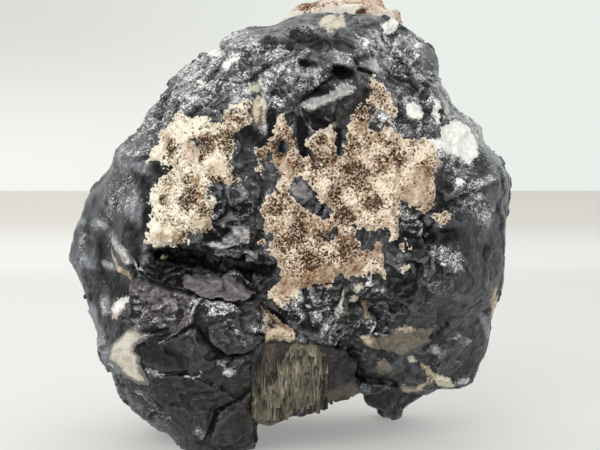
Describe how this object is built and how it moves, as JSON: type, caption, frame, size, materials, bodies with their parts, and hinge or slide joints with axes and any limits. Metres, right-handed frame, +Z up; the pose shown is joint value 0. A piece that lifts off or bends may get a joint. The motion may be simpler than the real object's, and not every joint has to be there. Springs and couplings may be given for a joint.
{
  "type": "ilvaite specimen",
  "caption": "Black, broken lump of ilvaite with porous tan and cream crusts, a deep cleft and a band of fibrous columns, standing on two flattened feet.",
  "frame": {"origin": "centre of the bounding box's footprint, on the ground that the two feet stand on", "axes": "+Z up as the specimen stands, -Y out of the front with the crusts, +X to the right seen from that front"},
  "size_m": [0.0623, 0.0433, 0.0647],
  "materials": {
    "ilvaite_mass": "black, part glossy and part dull, hackly fracture with pale frost",
    "fibrous_band": "silky olive-tan fibres",
    "centre_crust": "matt tan, porous, with brown pits",
    "left_crust": "matt cream, porous, with brown pits",
    "lower_crust": "matt buff",
    "top_crust": "matt pinkish cream, speckled brown",
    "calcite_seam": "smooth waxy cream"
  },
  "bodies": {
    "root": {"ilvaite_mass": "ilvaite_mass", "fibrous_band": "fibrous_band", "centre_crust": "centre_crust", "left_crust": "left_crust", "lower_crust": "lower_crust", "top_crust": "top_crust", "calcite_seam": "calcite_seam"}
  },
  "joints": []
}
